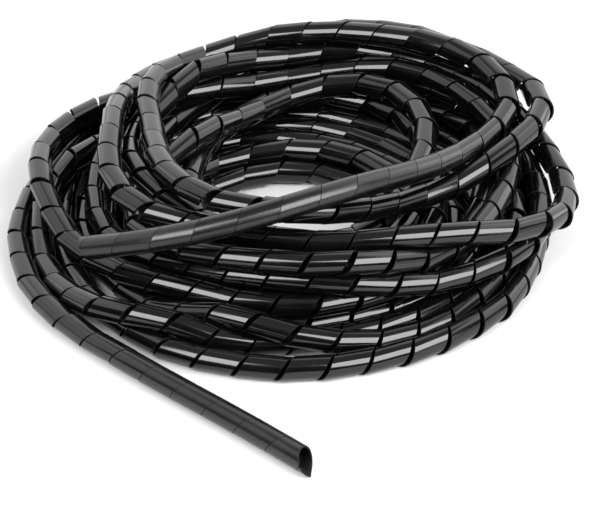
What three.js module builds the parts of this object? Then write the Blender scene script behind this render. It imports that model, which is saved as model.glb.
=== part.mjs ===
// Spiral cable wrap: one long polyethylene tube, cut along a helix, laid down in a loose coil with
// both ends free. Millimetres, +Z up, the floor is z = 0.
import * as THREE from 'three';

// The tube's section, and the length of its straight steps.
const TUBE_DIAMETER = 12;
const SECTION_SIDES = 8;
const SECTION_STEP = 24;

// How the tube is laid: the air between turns, the radius of the humps where it passes over itself,
// and the spacing of the points.
const TURN_CLEARANCE = 0.4;
const HUMP_RADIUS = 150;
const LAYING_STEP = 5;
const CURVE_SAMPLES = 24;

// How the pile then settles, in small rounds: what air is left between turns, how far each round
// lets the tube sink, how much it is pushed apart, held to its plan and straightened, and how many
// rounds there are, the last ones without sinking.
const SETTLED_CLEARANCE = 0.3;
const SINK = 0.23;
const PUSH_SHARE = 0.33;
const PULL_TO_PLAN = 0.03;
const STIFFNESS = 0.06;
const STIFFNESS_PASSES = 3;
const SETTLE_ROUNDS = 210;
const QUIET_ROUNDS = 100;
const OWN_NEIGHBOURS = 8;

const BLACK_POLYETHYLENE = new THREE.MeshStandardMaterial({ color: 0x17171a, roughness: 0.32, metalness: 0 });

// The front end, seen from above, from its tip to where the coil begins.
const FRONT_END = [[12, -209], [-22, -177], [-65, -139], [-103, -100], [-126, -60]];

// Each turn's reach from the middle of the coil, from the left side on, clockwise as seen from
// above, from the turn that lies on the floor to the top one. A turn that is mostly hidden has a
// reach every eighth of a turn, and one that shows has a reach every sixteenth.
const TURN_REACHES = [
  [134, 134, 128, 122, 126, 128, 136, 126],
  [117, 120, 110, 105, 112, 112, 114, 136],
  [120, 106, 96, 92, 112, 123, 121, 106],
  [106, 92, 82, 79, 96, 102, 100, 94],
  [90, 78, 68, 65, 82, 90, 88, 82],
  [74, 62, 54, 52, 68, 78, 76, 70],
  [56, 42, 40, 40, 54, 64, 64, 58],
  [52, 49, 43, 48, 60, 72, 72, 62],
  [50, 52, 59, 73, 89, 97, 90, 75, 73, 77, 82, 84, 84, 82, 80, 80],
  [80, 82, 90, 103, 116, 122, 119, 110, 99, 97, 99, 102, 99, 101, 107, 117],
  [123, 133, 131, 123, 124, 124, 124, 124, 125, 127, 114, 103, 95, 91, 92, 97],
  [97, 102, 99, 95, 110, 122, 121, 117, 110, 103, 102, 103, 98, 93, 92, 84],
  [62, 51, 50, 62, 83, 98, 91, 75, 62, 57, 56, 58, 62, 66, 70, 74],
  [79, 84, 92, 101, 117, 128, 132, 127, 138, 133, 104, 88, 80, 78, 92, 93],
  [89, 96, 116, 140, 141, 136, 137, 141, 104, 71, 65, 68, 74, 80, 74, 69],
  [66, 77, 98, 119, 124, 121, 129, 123, 86],
];
const EIGHTH_TURNS = 8;
const SIXTEENTH_TURNS = 16;

// The top end, from where it leaves the coil to its tip.
const TOP_END = [[65, -33], [45, -53], [20, -73], [-10, -88], [-43, -94], [-75, -87], [-103, -73]];

function turnPoints() {
  const points = [];
  for (const reaches of TURN_REACHES) {
    const steps = reaches.length === EIGHTH_TURNS ? EIGHTH_TURNS : SIXTEENTH_TURNS;
    reaches.forEach((reach, k) => {
      const angle = Math.PI / 2 + (2 * Math.PI * k) / steps;
      points.push([-reach * Math.sin(angle), -reach * Math.cos(angle)]);
    });
  }
  return points;
}

// The whole route seen from above, as points an even step apart.
function planRoute() {
  const knots = [...FRONT_END, ...turnPoints(), ...TOP_END].map(([x, y]) => new THREE.Vector3(x, y, 0));
  const curve = new THREE.CatmullRomCurve3(knots, false, 'catmullrom', 0.5);
  curve.arcLengthDivisions = CURVE_SAMPLES * (knots.length - 1);
  return curve.getSpacedPoints(Math.round(curve.getLength() / LAYING_STEP));
}

// The least height at which the tube clears what is already laid within one diameter of a point.
function supportHeight(point, laid, laidCount) {
  const apart = TUBE_DIAMETER + TURN_CLEARANCE;
  let height = TUBE_DIAMETER / 2;
  for (let j = 0; j < laidCount; j += 1) {
    const dx = laid[j].x - point.x;
    const dy = laid[j].y - point.y;
    const gapSquared = dx * dx + dy * dy;
    if (gapSquared < apart * apart) height = Math.max(height, laid[j].z + Math.sqrt(apart * apart - gapSquared));
  }
  return height;
}

// Lays the route down from its first point to its last: each point takes the height that the floor
// or the turns below it give, and a crossing lifts the tube in a long low hump on both sides.
function layRoute(route) {
  const reach = Math.round(HUMP_RADIUS / LAYING_STEP);
  const supports = [];
  for (let i = 0; i < route.length; i += 1) {
    while (supports.length <= Math.min(route.length - 1, i + reach)) {
      supports.push(supportHeight(route[supports.length], route, i));
    }
    let height = 0;
    for (let j = Math.max(0, i - reach); j <= Math.min(route.length - 1, i + reach); j += 1) {
      const along = (j - i) * LAYING_STEP;
      height = Math.max(height, supports[j] - (along * along) / (2 * HUMP_RADIUS));
    }
    route[i].z = height;
  }
  return route;
}

// Stretches of the tube that press into each other push each other apart.
function pushApart(points, moves) {
  const apart = TUBE_DIAMETER + SETTLED_CLEARANCE;
  const offset = new THREE.Vector3();
  for (let i = 0; i < points.length; i += 1) {
    for (let j = i + OWN_NEIGHBOURS + 1; j < points.length; j += 1) {
      offset.subVectors(points[i], points[j]);
      const squared = offset.lengthSq();
      if (squared >= apart * apart) continue;
      const distance = Math.max(Math.sqrt(squared), 1e-6);
      offset.multiplyScalar((PUSH_SHARE * (apart - distance)) / distance);
      moves[i].add(offset);
      moves[j].sub(offset);
    }
  }
}

// Takes a share of each point's curl out, so that the tube bends evenly.
function straighten(points) {
  const last = points.length - 1;
  const at = (i) => {
    if (i < 0) return points[0].clone().multiplyScalar(2).sub(points[-i]);
    if (i > last) return points[last].clone().multiplyScalar(2).sub(points[2 * last - i]);
    return points[i];
  };
  const curls = [];
  for (let i = -1; i <= last + 1; i += 1) {
    curls.push(at(i - 1).clone().add(at(i + 1)).addScaledVector(at(i), -2));
  }
  points.forEach((point, i) => {
    const unevenness = curls[i].clone().add(curls[i + 2]).addScaledVector(curls[i + 1], -2);
    point.addScaledVector(unevenness, -STIFFNESS);
  });
}

// Lets the laid pile settle: turns slide off each other, sideways and down, until they rest.
function settleRoute(laid) {
  const points = laid.filter((point, i) => i % 2 === 0);
  const planned = points.map((point) => point.clone());
  for (let round = 0; round < SETTLE_ROUNDS; round += 1) {
    const moves = points.map((point, i) => new THREE.Vector3(
      PULL_TO_PLAN * (planned[i].x - point.x),
      PULL_TO_PLAN * (planned[i].y - point.y),
      round < SETTLE_ROUNDS - QUIET_ROUNDS ? -SINK : 0,
    ));
    pushApart(points, moves);
    points.forEach((point, i) => point.add(moves[i]));
    for (let pass = 0; pass < STIFFNESS_PASSES; pass += 1) straighten(points);
    for (const point of points) point.z = Math.max(point.z, TUBE_DIAMETER / 2);
  }
  return points;
}

function tubeSection() {
  const corners = [];
  for (let k = 0; k < SECTION_SIDES; k += 1) {
    const angle = (2 * Math.PI * k) / SECTION_SIDES;
    corners.push(new THREE.Vector2(Math.cos(angle), Math.sin(angle)).multiplyScalar(TUBE_DIAMETER / 2));
  }
  return new THREE.Shape(corners);
}

function spiralWrap() {
  const points = settleRoute(layRoute(planRoute()));
  const centreline = new THREE.CatmullRomCurve3(points, false, 'catmullrom', 0.5);
  centreline.arcLengthDivisions = 4 * points.length;
  const steps = Math.round(centreline.getLength() / SECTION_STEP);
  const geometry = new THREE.ExtrudeGeometry(tubeSection(), { steps, bevelEnabled: false, extrudePath: centreline });
  const wrap = new THREE.Mesh(geometry, BLACK_POLYETHYLENE);
  wrap.name = 'spiral_wrap';
  return wrap;
}

// The coil's own middle is where it was measured from, so the finished part is set down with the
// middle of its outline at the origin and its underside on the floor.
function setDown(mesh) {
  mesh.geometry.computeBoundingBox();
  const { min, max } = mesh.geometry.boundingBox;
  mesh.position.set(-(min.x + max.x) / 2, -(min.y + max.y) / 2, -min.z);
  return mesh;
}

const part = new THREE.Group();
part.add(setDown(spiralWrap()));
export default part;
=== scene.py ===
# %% [markdown]
# The part is one thing: a spiral cable wrap, a black polyethylene tube of 12 mm that was cut through
# along a helix and dropped on a table as a loose hank of nearly sixteen turns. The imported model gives
# the frame, its sizes and the solid that this scene dresses.

import math

import bmesh
import bpy
import numpy as np
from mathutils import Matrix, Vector


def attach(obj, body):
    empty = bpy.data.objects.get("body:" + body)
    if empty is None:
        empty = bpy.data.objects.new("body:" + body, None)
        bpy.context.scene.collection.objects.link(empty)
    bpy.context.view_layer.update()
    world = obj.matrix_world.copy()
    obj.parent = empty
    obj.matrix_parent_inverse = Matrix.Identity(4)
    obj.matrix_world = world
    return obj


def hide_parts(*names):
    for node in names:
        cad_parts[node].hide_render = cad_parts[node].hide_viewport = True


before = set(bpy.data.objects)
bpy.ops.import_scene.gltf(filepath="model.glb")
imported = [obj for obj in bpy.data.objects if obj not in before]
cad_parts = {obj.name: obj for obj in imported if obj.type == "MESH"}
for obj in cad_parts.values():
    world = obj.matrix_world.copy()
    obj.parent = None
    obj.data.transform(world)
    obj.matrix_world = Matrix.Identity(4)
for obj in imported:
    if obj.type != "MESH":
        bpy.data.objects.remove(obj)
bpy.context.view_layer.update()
MM = 0.001

# %% [markdown]
# The wrap's route is the part's own route, told again here because a scene reads nothing but the
# frame. It is written in millimetres from the middle of the hank: the front end by points, every
# turn by its reach at even steps of angle, clockwise from the left side on, and then the top end by
# points. A turn that is mostly hidden has a reach every eighth of a turn, and one that shows has a
# reach every sixteenth.

# %% The route, as it was measured
TUBE_DIAMETER = 12.0
TUBE_RADIUS = TUBE_DIAMETER / 2
FRONT_END = [(12, -209), (-22, -177), (-65, -139), (-103, -100), (-126, -60)]
TOP_END = [(65, -33), (45, -53), (20, -73), (-10, -88), (-43, -94), (-75, -87), (-103, -73)]
TURN_REACHES = [
    [134, 134, 128, 122, 126, 128, 136, 126],
    [117, 120, 110, 105, 112, 112, 114, 136],
    [120, 106, 96, 92, 112, 123, 121, 106],
    [106, 92, 82, 79, 96, 102, 100, 94],
    [90, 78, 68, 65, 82, 90, 88, 82],
    [74, 62, 54, 52, 68, 78, 76, 70],
    [56, 42, 40, 40, 54, 64, 64, 58],
    [52, 49, 43, 48, 60, 72, 72, 62],
    [50, 52, 59, 73, 89, 97, 90, 75, 73, 77, 82, 84, 84, 82, 80, 80],
    [80, 82, 90, 103, 116, 122, 119, 110, 99, 97, 99, 102, 99, 101, 107, 117],
    [123, 133, 131, 123, 124, 124, 124, 124, 125, 127, 114, 103, 95, 91, 92, 97],
    [97, 102, 99, 95, 110, 122, 121, 117, 110, 103, 102, 103, 98, 93, 92, 84],
    [62, 51, 50, 62, 83, 98, 91, 75, 62, 57, 56, 58, 62, 66, 70, 74],
    [79, 84, 92, 101, 117, 128, 132, 127, 138, 133, 104, 88, 80, 78, 92, 93],
    [89, 96, 116, 140, 141, 136, 137, 141, 104, 71, 65, 68, 74, 80, 74, 69],
    [66, 77, 98, 119, 124, 121, 129, 123, 86],
]
EIGHTH_TURNS = 8
SIXTEENTH_TURNS = 16
LAYING_STEP = 5.0
CURVE_SAMPLES = 24


def even_points(knots, step):
    """Points an even step apart on the smooth curve through the knots, and that step."""
    knots = [np.array(k, float) for k in knots]
    knots = [2 * knots[0] - knots[1]] + knots + [2 * knots[-1] - knots[-2]]
    fine = []
    for a, b, c, d in zip(knots, knots[1:], knots[2:], knots[3:]):
        for t in np.linspace(0, 1, CURVE_SAMPLES, endpoint=False):
            bend = (2 * a - 5 * b + 4 * c - d) * t * t + (3 * b - a - 3 * c + d) * t ** 3
            fine.append(0.5 * (2 * b + (c - a) * t + bend))
    fine = np.array(fine + [knots[-2]])
    along = np.concatenate([[0], np.cumsum(np.linalg.norm(np.diff(fine, axis=0), axis=1))])
    count = int(round(along[-1] / step))
    stops = np.linspace(0, along[-1], count + 1)
    points = np.stack([np.interp(stops, along, fine[:, k]) for k in range(fine.shape[1])], axis=1)
    return points, along[-1] / count


def planned_route():
    """The whole route as seen from above."""
    knots = list(FRONT_END)
    for reaches in TURN_REACHES:
        step = math.tau / (EIGHTH_TURNS if len(reaches) == EIGHTH_TURNS else SIXTEENTH_TURNS)
        for k, reach in enumerate(reaches):
            angle = math.pi / 2 + step * k
            knots.append((-reach * math.sin(angle), -reach * math.cos(angle)))
    return even_points(knots + TOP_END, LAYING_STEP)


plan, plan_step = planned_route()
print("planned route:", len(plan), "points,", round(plan_step * (len(plan) - 1)), "mm long")

# %% [markdown]
# Heights follow from laying the tube down turn by turn: each point rests on the floor or on what
# already lies there, and a crossing lifts it in a long low hump. Then the pile settles: turns that
# press into each other move apart, everything sinks a little, and the tube's stiffness evens it out.

# %% Laying the tube down
TURN_CLEARANCE = 0.4
HUMP_RADIUS = 150.0


def laid_heights(points, step):
    """Height of every point: on the floor, or over the turns that lie under it."""
    apart = TUBE_DIAMETER + TURN_CLEARANCE
    reach = int(round(HUMP_RADIUS / step))
    hump = (np.arange(-reach, reach + 1) * step) ** 2 / (2 * HUMP_RADIUS)
    support = np.full(len(points), TUBE_RADIUS)
    heights = np.zeros(len(points))
    ready = 0
    for i in range(len(points)):
        while ready <= min(len(points) - 1, i + reach):
            gaps = ((points[:i] - points[ready]) ** 2).sum(axis=1)
            near = gaps < apart ** 2
            if near.any():
                resting = heights[:i][near] + np.sqrt(apart ** 2 - gaps[near])
                support[ready] = max(support[ready], resting.max())
            ready += 1
        first, last = max(0, i - reach), min(len(points), i + reach + 1)
        heights[i] = (support[first:last] - hump[first - i + reach:last - i + reach]).max()
    return heights


laid = np.column_stack([plan, laid_heights(plan, plan_step)])
print("laid pile is", round(laid[:, 2].max() + TUBE_RADIUS, 1), "mm high")

# %% Letting the pile settle
SETTLE_ROUNDS = 210
QUIET_ROUNDS = 100
SETTLED_APART = TUBE_DIAMETER + 0.3
SETTLING_STRIDE = 2
OWN_NEIGHBOURS = 8
LEAST_DISTANCE = 1e-6
SINK = 0.23
PULL_TO_PLAN = 0.03
PUSH_SHARE = 0.33
STIFFNESS = 0.06
STIFFNESS_PASSES = 3


def unevenness(points):
    """How far each point stands off the even run of its neighbours."""
    before = np.array([2 * points[0] - points[2], 2 * points[0] - points[1]])
    after = np.array([2 * points[-1] - points[-2], 2 * points[-1] - points[-3]])
    run = np.vstack([before, points, after])
    curl = run[:-2] - 2 * run[1:-1] + run[2:]
    return curl[:-2] - 2 * curl[1:-1] + curl[2:]


def settled(points):
    """The pile after its turns have slid off each other, sideways and down."""
    points = points.copy()
    planned = points[:, :2].copy()
    order = np.arange(len(points))
    others = np.abs(order[:, None] - order[None, :]) > OWN_NEIGHBOURS
    for turn in range(SETTLE_ROUNDS):
        offsets = points[:, None, :] - points[None, :, :]
        squares = (offsets ** 2).sum(axis=2)
        i, j = np.nonzero((squares < SETTLED_APART ** 2) & others)
        apart = np.maximum(np.sqrt(squares[i, j]), LEAST_DISTANCE)
        move = np.zeros_like(points)
        np.add.at(move, i, PUSH_SHARE * offsets[i, j] * ((SETTLED_APART - apart) / apart)[:, None])
        if turn < SETTLE_ROUNDS - QUIET_ROUNDS:
            move[:, 2] -= SINK
        move[:, :2] += PULL_TO_PLAN * (planned - points[:, :2])
        points += move
        for _ in range(STIFFNESS_PASSES):
            points -= STIFFNESS * unevenness(points)
        points[:, 2] = np.maximum(points[:, 2], TUBE_RADIUS)
    return points


resting = settled(laid[::SETTLING_STRIDE])
print("settled pile is", round(resting[:, 2].max() + TUBE_RADIUS, 1), "mm high")

# %% The centreline, and its place in the frame
CENTRELINE_STEP = 1.0
centreline, centreline_step = even_points(resting, CENTRELINE_STEP)
route_length = centreline_step * (len(centreline) - 1)


def directions(points):
    """Unit vectors along the centreline."""
    ahead = np.gradient(points, axis=0)
    return ahead / np.linalg.norm(ahead, axis=1)[:, None]


tangents = directions(centreline)
skin = TUBE_RADIUS * np.sqrt(np.maximum(1 - tangents ** 2, 0))
hank_middle = ((centreline - skin).min(axis=0) + (centreline + skin).max(axis=0)) / 2
hank_middle[2] = 0
print("wrap is", round(route_length), "mm long; middle of its box", hank_middle.round(1))

# %% [markdown]
# The camera looks down on the hank from the front, far away and through a long lens, so that the
# near tube is only a little wider than the far one, as in the photograph.

# %% Camera
PHOTO_WIDTH = 600
SENSOR = 36.0
FOCAL_PIXELS = 2867
CAMERA_ELEVATION = math.radians(34)
CAMERA_DISTANCE = 1430
CAMERA_TARGET = np.array([5.0, -32.0, 0.0])
CLIP_END = 20.0

view_direction = np.array([0.0, math.cos(CAMERA_ELEVATION), -math.sin(CAMERA_ELEVATION)])
camera_place = CAMERA_TARGET - CAMERA_DISTANCE * view_direction - hank_middle
lens = bpy.data.cameras.new("photo_camera")
lens.sensor_width = SENSOR
lens.sensor_fit = "HORIZONTAL"
lens.lens = FOCAL_PIXELS / PHOTO_WIDTH * SENSOR
lens.clip_end = CLIP_END
camera = bpy.data.objects.new("photo_camera", lens)
camera.location = Vector(camera_place * MM)
camera.rotation_euler = Vector(view_direction).to_track_quat("-Z", "Y").to_euler()
bpy.context.scene.collection.objects.link(camera)
bpy.context.scene.camera = camera
print("camera at", [round(v, 3) for v in camera.location], "with a lens of", round(lens.lens), "mm")

# %% [markdown]
# The wrap itself is a strip. Each turn of the strip is a short stiff piece of tube, straight along
# the axis, and all bending happens at the cut: it opens on the outside of a bend and closes on the
# inside. So the strip is swept as a narrow closed section that runs round the centreline on a
# left-handed helix, and each section lies straight along the direction of the tube at its middle.
# Near both ends the wrap has been pressed shut by hand: the cut is a hairline there and the strip
# follows the bend.

# %% How wide the cut stands open along the wrap
PITCH = 20.0
WALL = 1.0
EDGE_ROUNDING = 0.16
SECTIONS_PER_TURN = 24
CLOSED_CUT = 0.3
CUT_PER_BEND = 0.8
WIDEST_CUT = 4.5
BEND_WINDOW = 31
TIGHT_CUT = 0.12
FRONT_HANDLED = 135.0
TOP_HANDLED = 240.0
HANDLED_FADE = 50.0


def smoothed(values, window):
    """A moving average that keeps the ends."""
    half = window // 2
    padded = np.pad(values, half, mode="edge")
    return np.convolve(padded, np.ones(window) / window, mode="valid")


bending = np.linalg.norm(np.gradient(tangents, axis=0), axis=1) / centreline_step
bending = smoothed(bending, BEND_WINDOW)
cut_width = CLOSED_CUT + CUT_PER_BEND * PITCH * TUBE_RADIUS * bending
cut_width = np.minimum(cut_width, WIDEST_CUT)
line_stops = np.arange(len(centreline)) * centreline_step
from_front = np.clip((FRONT_HANDLED - line_stops) / HANDLED_FADE, 0, 1)
from_top = np.clip((TOP_HANDLED - route_length + line_stops) / HANDLED_FADE, 0, 1)
handled_line = np.maximum(from_front, from_top)
cut_width = cut_width * (1 - handled_line) + TIGHT_CUT * handled_line
print("cut stands open", cut_width.min().round(2), "to", cut_width.max().round(2), "mm")

# %% Small unevenness from the cutting machine and from handling
SKIN_PLAY = 0.1
SKIN_SPACING = 0.7
CUT_PLAY = 0.25
CUT_SPACING = 1.5
TURN_LEAN = math.radians(2.5)
LEAN_SPACING = 1
STILL_SHARE = 0.7
RANDOM_SEED = 12
rng = np.random.default_rng(RANDOM_SEED)


def wandering(stations, spacing, size):
    """A smooth wander along the strip, with a new random value every so many turns."""
    count = int(stations[-1] / spacing) + 3
    values = rng.uniform(-size, size, count)
    return np.interp(stations / spacing, np.arange(count), values)


def stepped(stations):
    """Stations that stand still while the strip crosses the top of the tube and move on underneath."""
    whole = np.round(stations)
    past = stations - whole
    moving = np.clip((np.abs(past) - STILL_SHARE / 2) / ((1 - STILL_SHARE) / 2), 0, 1)
    return whole + np.sign(past) * moving / 2


# %% How the strip lies at each of its sections
turns = (route_length + PITCH) / PITCH
section_count = int(turns * SECTIONS_PER_TURN) + 1
station = np.linspace(0, turns, section_count)
middle_along = station * PITCH - PITCH / 2
on_line = np.clip(middle_along, 0, route_length)
past_end = middle_along - on_line


def along_centreline(values, where):
    """Values of the centreline, read at distances along it."""
    stops = np.arange(len(values)) * centreline_step
    if values.ndim == 1:
        return np.interp(where, stops, values)
    return np.stack([np.interp(where, stops, values[:, k]) for k in range(3)], axis=1)


def unit(vectors):
    """The vectors, each made one long."""
    return vectors / np.linalg.norm(vectors, axis=1)[:, None]


axis_point = along_centreline(centreline, on_line)
loose = 1 - along_centreline(handled_line, on_line)
straight_station = loose * stepped(station) + (1 - loose) * station
straight_along = np.clip(straight_station * PITCH - PITCH / 2, 0, route_length)
axis = unit(along_centreline(tangents, straight_along))
axis_point = axis_point + axis * past_end[:, None]
up = unit(np.array([0.0, 0.0, 1.0]) - axis * axis[:, 2:3])
side = np.cross(axis, up)
lean = loose * wandering(stepped(station), LEAN_SPACING, TURN_LEAN)
swing = loose * wandering(stepped(station), LEAN_SPACING, TURN_LEAN)
axis = unit(axis + up * lean[:, None] + side * swing[:, None])
angle = -2 * math.pi * station
outward = up * np.cos(angle)[:, None] + side * np.sin(angle)[:, None]

print("strip:", section_count, "sections in", round(turns), "turns")

# %% Where each section starts and stops: the front end is cut to a point, the top end at a slant
FRONT_SLANT = 9.0
FRONT_POINT = math.radians(-145)
TOP_SLANT = 4.0
LEAST_WIDTH = 2.2 * EDGE_ROUNDING
cut_here = along_centreline(cut_width, on_line) + loose * wandering(station, CUT_SPACING, CUT_PLAY)
half_width = (PITCH - cut_here) / 2
half_width = np.minimum(half_width, (PITCH - TIGHT_CUT) / 2)
skin_radius = TUBE_RADIUS - SKIN_PLAY + loose * wandering(station, SKIN_SPACING, SKIN_PLAY)
from_below = (1 + np.cos(angle)) / 2
to_the_point = np.abs(np.sin((angle - FRONT_POINT) / 2))
low_side = np.maximum(-half_width, FRONT_SLANT * to_the_point - middle_along)
high_side = np.minimum(half_width, route_length - TOP_SLANT * (1 - from_below) - middle_along)
kept = high_side - low_side > LEAST_WIDTH
print("sections kept:", kept.sum())

# %% The strip's mesh
# Each corner of the section: which side it is on, how far in from that side and from the skin,
# and how its normal leans between outward and along the tube.
SKIN_CROWN = 0.015
BORE_CROWN = 0.1
EDGE_CROWN = 0.35
SECTION = [
    (-1, EDGE_ROUNDING, 0.0, 1.0, -SKIN_CROWN),
    (1, EDGE_ROUNDING, 0.0, 1.0, SKIN_CROWN),
    (1, 0.0, EDGE_ROUNDING, EDGE_CROWN, 1.0),
    (1, 0.0, WALL - EDGE_ROUNDING, -EDGE_CROWN, 1.0),
    (1, EDGE_ROUNDING, WALL, -1.0, BORE_CROWN),
    (-1, EDGE_ROUNDING, WALL, -1.0, -BORE_CROWN),
    (-1, 0.0, WALL - EDGE_ROUNDING, -EDGE_CROWN, -1.0),
    (-1, 0.0, EDGE_ROUNDING, EDGE_CROWN, -1.0),
]


def bent_place(edge, radius):
    """Where a corner comes when its turn of the strip follows the bend, as the handled ends do."""
    where = np.clip(middle_along + edge, 0, route_length)
    bent_axis = unit(along_centreline(tangents, where))
    bent_up = unit(np.array([0.0, 0.0, 1.0]) - bent_axis * bent_axis[:, 2:3])
    bent_side = np.cross(bent_axis, bent_up)
    bent_outward = bent_up * np.cos(angle)[:, None] + bent_side * np.sin(angle)[:, None]
    return along_centreline(centreline, where) + bent_outward * radius[:, None]


rings = []
normals = []
unrolled = []
for direction, inset, depth, lean_out, lean_along in SECTION:
    edge = (high_side - inset) if direction > 0 else (low_side + inset)
    radius = skin_radius - depth
    straight_place = axis_point + axis * edge[:, None] + outward * radius[:, None]
    bend_share = (1 - loose)[:, None]
    rings.append(straight_place + bend_share * (bent_place(edge, radius) - straight_place))
    normals.append(unit(outward * lean_out + axis * lean_along))
    unrolled.append(np.stack([middle_along + edge, -angle * TUBE_RADIUS, station], axis=1))
rings = np.stack(rings, axis=1)[kept]
normals = np.stack(normals, axis=1)[kept]
unrolled = np.stack(unrolled, axis=1)[kept]
corners = len(SECTION)
vertices = (rings.reshape(-1, 3) - hank_middle) * MM
vertices[:, 2] = np.maximum(vertices[:, 2], 0)

faces = []
ring_count = len(rings)
for i in range(ring_count - 1):
    for k in range(corners):
        n = (k + 1) % corners
        faces.append((i * corners + k, i * corners + n, (i + 1) * corners + n, (i + 1) * corners + k))
faces.append(tuple(range(corners))[::-1])
faces.append(tuple((ring_count - 1) * corners + k for k in range(corners)))

strip_mesh = bpy.data.meshes.new("spiral_strip")
strip_mesh.from_pydata(vertices.tolist(), [], faces)
strip_mesh.update()
strip = bpy.data.objects.new("spiral_strip", strip_mesh)
bpy.context.scene.collection.objects.link(strip)
print("strip mesh:", len(vertices), "corners,", 2 * len(faces), "triangles")

# %% Normals, the unrolled pattern of the strip, and which stretches were handled
volume = bmesh.new()
volume.from_mesh(strip_mesh)
turned = volume.calc_volume(signed=True) < 0
volume.free()
if turned:
    strip_mesh.flip_normals()
strip_mesh.polygons.foreach_set("use_smooth", [True] * len(faces))
strip_mesh.normals_split_custom_set_from_vertices(normals.reshape(-1, 3).tolist())
pattern = strip_mesh.attributes.new("unrolled", "FLOAT_VECTOR", "POINT")
pattern.data.foreach_set("vector", unrolled.reshape(-1).astype(np.float32))
handled = strip_mesh.attributes.new("handled", "FLOAT", "POINT")
handled_here = np.repeat(1 - loose[kept], corners)
handled.data.foreach_set("value", handled_here.astype(np.float32))
strip_mesh.update()
print("faces turned outward:", turned)

# %% The strip takes the solid's place
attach(strip, "root")
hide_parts("spiral_wrap")
print("cord declared,", round(route_length * MM, 2), "m")

# %% [markdown]
# The plastic is black polyethylene, semi-gloss as it left the die. Its skin carries faint lines
# along the tube from the die and dull patches from handling, and the two ends, which were handled
# most, are duller. So are the cut faces and the bore. Both finishes share one group that makes the
# die lines and the patches.

# %% Die lines and dull patches, shared by both finishes
ALONG_THE_TUBE = (0.02, 1.0, 0.0)
LINE_DETAIL = 3.0
PATCH_DETAIL = 4.0
PATCH_ROUGHNESS = 0.6


def shrunk(group, vector, size):
    """The vector divided by a size that the group is given."""
    per_size = group.nodes.new("ShaderNodeMath")
    per_size.operation = "DIVIDE"
    per_size.inputs[0].default_value = 1.0
    group.links.new(size, per_size.inputs[1])
    scaled = group.nodes.new("ShaderNodeVectorMath")
    scaled.operation = "SCALE"
    group.links.new(vector, scaled.inputs[0])
    group.links.new(per_size.outputs[0], scaled.inputs["Scale"])
    return scaled.outputs[0]


def make_die_lines():
    """Group: fine lines along the tube and broad dull patches, from the unrolled pattern."""
    group = bpy.data.node_groups.new("die_lines", "ShaderNodeTree")
    group.interface.new_socket("Line Width", in_out="INPUT", socket_type="NodeSocketFloat")
    group.interface.new_socket("Patch Size", in_out="INPUT", socket_type="NodeSocketFloat")
    group.interface.new_socket("Lines", in_out="OUTPUT", socket_type="NodeSocketFloat")
    group.interface.new_socket("Patches", in_out="OUTPUT", socket_type="NodeSocketFloat")
    nodes, links = group.nodes, group.links
    given = nodes.new("NodeGroupInput")
    result = nodes.new("NodeGroupOutput")
    where = nodes.new("ShaderNodeAttribute")
    where.attribute_name = "unrolled"
    stretch = nodes.new("ShaderNodeVectorMath")
    stretch.operation = "MULTIPLY"
    stretch.inputs[1].default_value = ALONG_THE_TUBE
    links.new(where.outputs["Vector"], stretch.inputs[0])
    lines = nodes.new("ShaderNodeTexNoise")
    lines.inputs["Scale"].default_value = 1.0
    lines.inputs["Detail"].default_value = LINE_DETAIL
    links.new(shrunk(group, stretch.outputs[0], given.outputs["Line Width"]), lines.inputs["Vector"])
    links.new(lines.outputs["Fac"], result.inputs["Lines"])
    patches = nodes.new("ShaderNodeTexNoise")
    patches.inputs["Scale"].default_value = 1.0
    patches.inputs["Detail"].default_value = PATCH_DETAIL
    patches.inputs["Roughness"].default_value = PATCH_ROUGHNESS
    links.new(shrunk(group, where.outputs["Vector"], given.outputs["Patch Size"]), patches.inputs["Vector"])
    links.new(patches.outputs["Fac"], result.inputs["Patches"])
    return group


die_lines = make_die_lines()
print("node group:", die_lines.name)

# %% The finishes
BLACK = (0.001, 0.001, 0.0011, 1)
WORN_BLACK = (0.0024, 0.0024, 0.0028, 1)
HANDLED_DULLING = 0.16
PATCH_SIZE = 14.0
REFRACTION = 1.51
NOISE_LOW = 0.3
NOISE_HIGH = 0.7


def mapped(tree, value, low, high):
    """A noise value, most of which lies in the middle, spread over a new range."""
    node = tree.nodes.new("ShaderNodeMapRange")
    node.inputs["From Min"].default_value = NOISE_LOW
    node.inputs["From Max"].default_value = NOISE_HIGH
    node.inputs["To Min"].default_value = low
    node.inputs["To Max"].default_value = high
    tree.links.new(value, node.inputs["Value"])
    return node.outputs["Result"]


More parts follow.
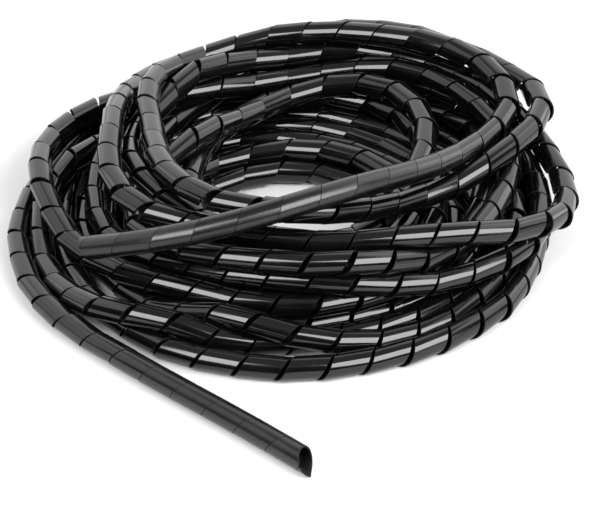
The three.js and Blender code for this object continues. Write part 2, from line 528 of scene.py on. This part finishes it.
def polyethylene(name, roughness, line_width, line_depth, specular):
    """Black polyethylene: patches and handling dull its gloss, and the die lines are its height."""
    material = bpy.data.materials.new(name)
    material.use_nodes = True
    tree = material.node_tree
    shader = tree.nodes["Principled BSDF"]
    lines = tree.nodes.new("ShaderNodeGroup")
    lines.node_tree = die_lines
    lines.inputs["Line Width"].default_value = line_width
    lines.inputs["Patch Size"].default_value = PATCH_SIZE
    tint = tree.nodes.new("ShaderNodeMix")
    tint.data_type = "RGBA"
    tint.inputs["A"].default_value = BLACK
    tint.inputs["B"].default_value = WORN_BLACK
    tree.links.new(mapped(tree, lines.outputs["Patches"], 0.0, 1.0), tint.inputs["Factor"])
    tree.links.new(tint.outputs["Result"], shader.inputs["Base Color"])
    gloss = mapped(tree, lines.outputs["Patches"], roughness[0], roughness[1])
    handled = tree.nodes.new("ShaderNodeAttribute")
    handled.attribute_name = "handled"
    dulled = tree.nodes.new("ShaderNodeMath")
    dulled.operation = "MULTIPLY_ADD"
    dulled.inputs[1].default_value = HANDLED_DULLING
    tree.links.new(handled.outputs["Fac"], dulled.inputs[0])
    tree.links.new(gloss, dulled.inputs[2])
    tree.links.new(dulled.outputs[0], shader.inputs["Roughness"])
    bump = tree.nodes.new("ShaderNodeBump")
    bump.inputs["Strength"].default_value = 1.0
    bump.inputs["Distance"].default_value = line_depth * MM
    tree.links.new(lines.outputs["Lines"], bump.inputs["Height"])
    tree.links.new(bump.outputs["Normal"], shader.inputs["Normal"])
    shader.inputs["IOR"].default_value = REFRACTION
    shader.inputs["Specular IOR Level"].default_value = specular
    return material


wrap_skin = polyethylene(
    "wrap_skin",
    roughness=(0.08, 0.13),
    line_width=0.5,
    line_depth=0.006,
    specular=0.5,
)
wrap_cut = polyethylene(
    "wrap_cut",
    roughness=(0.4, 0.55),
    line_width=0.3,
    line_depth=0.03,
    specular=0.22,
)
strip_mesh.materials.append(wrap_skin)
strip_mesh.materials.append(wrap_cut)
SKIN, CUT = 0, 1
slots = ([SKIN] + [CUT] * (corners - 1)) * (ring_count - 1) + [CUT, CUT]
strip_mesh.polygons.foreach_set("material_index", slots)
strip_mesh.update()
print("finishes:", [m.name for m in strip_mesh.materials])

# %% Floor
FLOOR_REACH = 6.0
FLOOR_DROP = 0.0002
PAPER_WHITE = (0.6, 0.6, 0.6, 1)
PAPER_ROUGHNESS = 0.9
floor_mesh = bpy.data.meshes.new("floor")
floor_corners = [(x * FLOOR_REACH, y * FLOOR_REACH, 0) for x, y in [(-1, -1), (1, -1), (1, 1), (-1, 1)]]
floor_mesh.from_pydata(floor_corners, [], [(0, 1, 2, 3)])
floor = bpy.data.objects.new("floor", floor_mesh)
bpy.context.scene.collection.objects.link(floor)
floor.location.z = -FLOOR_DROP
paper = bpy.data.materials.new("white_paper")
paper.use_nodes = True
paper_shader = paper.node_tree.nodes["Principled BSDF"]
paper_shader.inputs["Base Color"].default_value = PAPER_WHITE
paper_shader.inputs["Roughness"].default_value = PAPER_ROUGHNESS
floor_mesh.materials.append(paper)
print("floor is", 2 * FLOOR_REACH, "m wide")

# %% [markdown]
# The room is a pale studio: a bright backdrop behind the hank, a dim ceiling, and next to no light
# from behind the camera. Two softboxes over the front corners make the bright streaks, and three
# dim reflectors fill in the sides.

# %% The room
BACKDROP_GLOW = 1.6
BACKDROP_FROM = 0.35
BACKDROP_TO = 0.7
ROOM_GLOW = 0.06
CEILING_GLOW = 0.35
CEILING_FROM = 0.55
CEILING_TO = 0.85
world = bpy.data.worlds.new("studio")
bpy.context.scene.world = world
world.use_nodes = True
sky = world.node_tree
heading = sky.nodes.new("ShaderNodeTexCoord")
parts = sky.nodes.new("ShaderNodeSeparateXYZ")
sky.links.new(heading.outputs["Generated"], parts.inputs[0])


def soft_rise(value, start, stop, low, high):
    """A glow that rises softly from low to high while the value goes from start to stop."""
    node = sky.nodes.new("ShaderNodeMapRange")
    node.interpolation_type = "SMOOTHSTEP"
    node.inputs["From Min"].default_value = start
    node.inputs["From Max"].default_value = stop
    node.inputs["To Min"].default_value = low
    node.inputs["To Max"].default_value = high
    sky.links.new(value, node.inputs["Value"])
    return node.outputs["Result"]


backdrop = soft_rise(parts.outputs["Y"], BACKDROP_FROM, BACKDROP_TO, ROOM_GLOW, BACKDROP_GLOW)
ceiling = soft_rise(parts.outputs["Z"], CEILING_FROM, CEILING_TO, 0.0, CEILING_GLOW)
both_glows = sky.nodes.new("ShaderNodeMath")
both_glows.operation = "ADD"
sky.links.new(backdrop, both_glows.inputs[0])
sky.links.new(ceiling, both_glows.inputs[1])
background = sky.nodes["Background"]
background.inputs["Color"].default_value = (1.0, 1.0, 1.0, 1)
sky.links.new(both_glows.outputs[0], background.inputs["Strength"])
print("room:", world.name)

# %% The lights
LIGHT_DISTANCE = 1.5


def softbox(name, azimuth, elevation, size, radiance):
    """A rectangular soft light, so many degrees round from the camera's side, aimed at the wrap."""
    turn, rise = math.radians(azimuth), math.radians(elevation)
    heading = (math.sin(turn) * math.cos(rise), -math.cos(turn) * math.cos(rise), math.sin(rise))
    place = Vector(heading) * LIGHT_DISTANCE
    light = bpy.data.lights.new(name, "AREA")
    light.shape = "RECTANGLE"
    light.size, light.size_y = size
    light.energy = radiance * math.pi * size[0] * size[1]
    lamp = bpy.data.objects.new(name, light)
    lamp.location = place
    lamp.rotation_euler = (-place).to_track_quat("-Z", "Y").to_euler()
    bpy.context.scene.collection.objects.link(lamp)
    return lamp


lamps = [
    softbox("left_softbox", -38, 37, (0.75, 1.0), 11.0),
    softbox("right_softbox", 50, 37, (1.2, 1.0), 11.0),
    softbox("left_reflector", -100, 30, (1.2, 1.4), 1.3),
    softbox("low_right_reflector", 72, 9, (1.0, 0.45), 1.2),
    softbox("right_reflector", 115, 30, (1.0, 1.4), 2.0),
]
bpy.context.scene.view_settings.view_transform = "Standard"
print("lights:", [lamp.name for lamp in lamps])
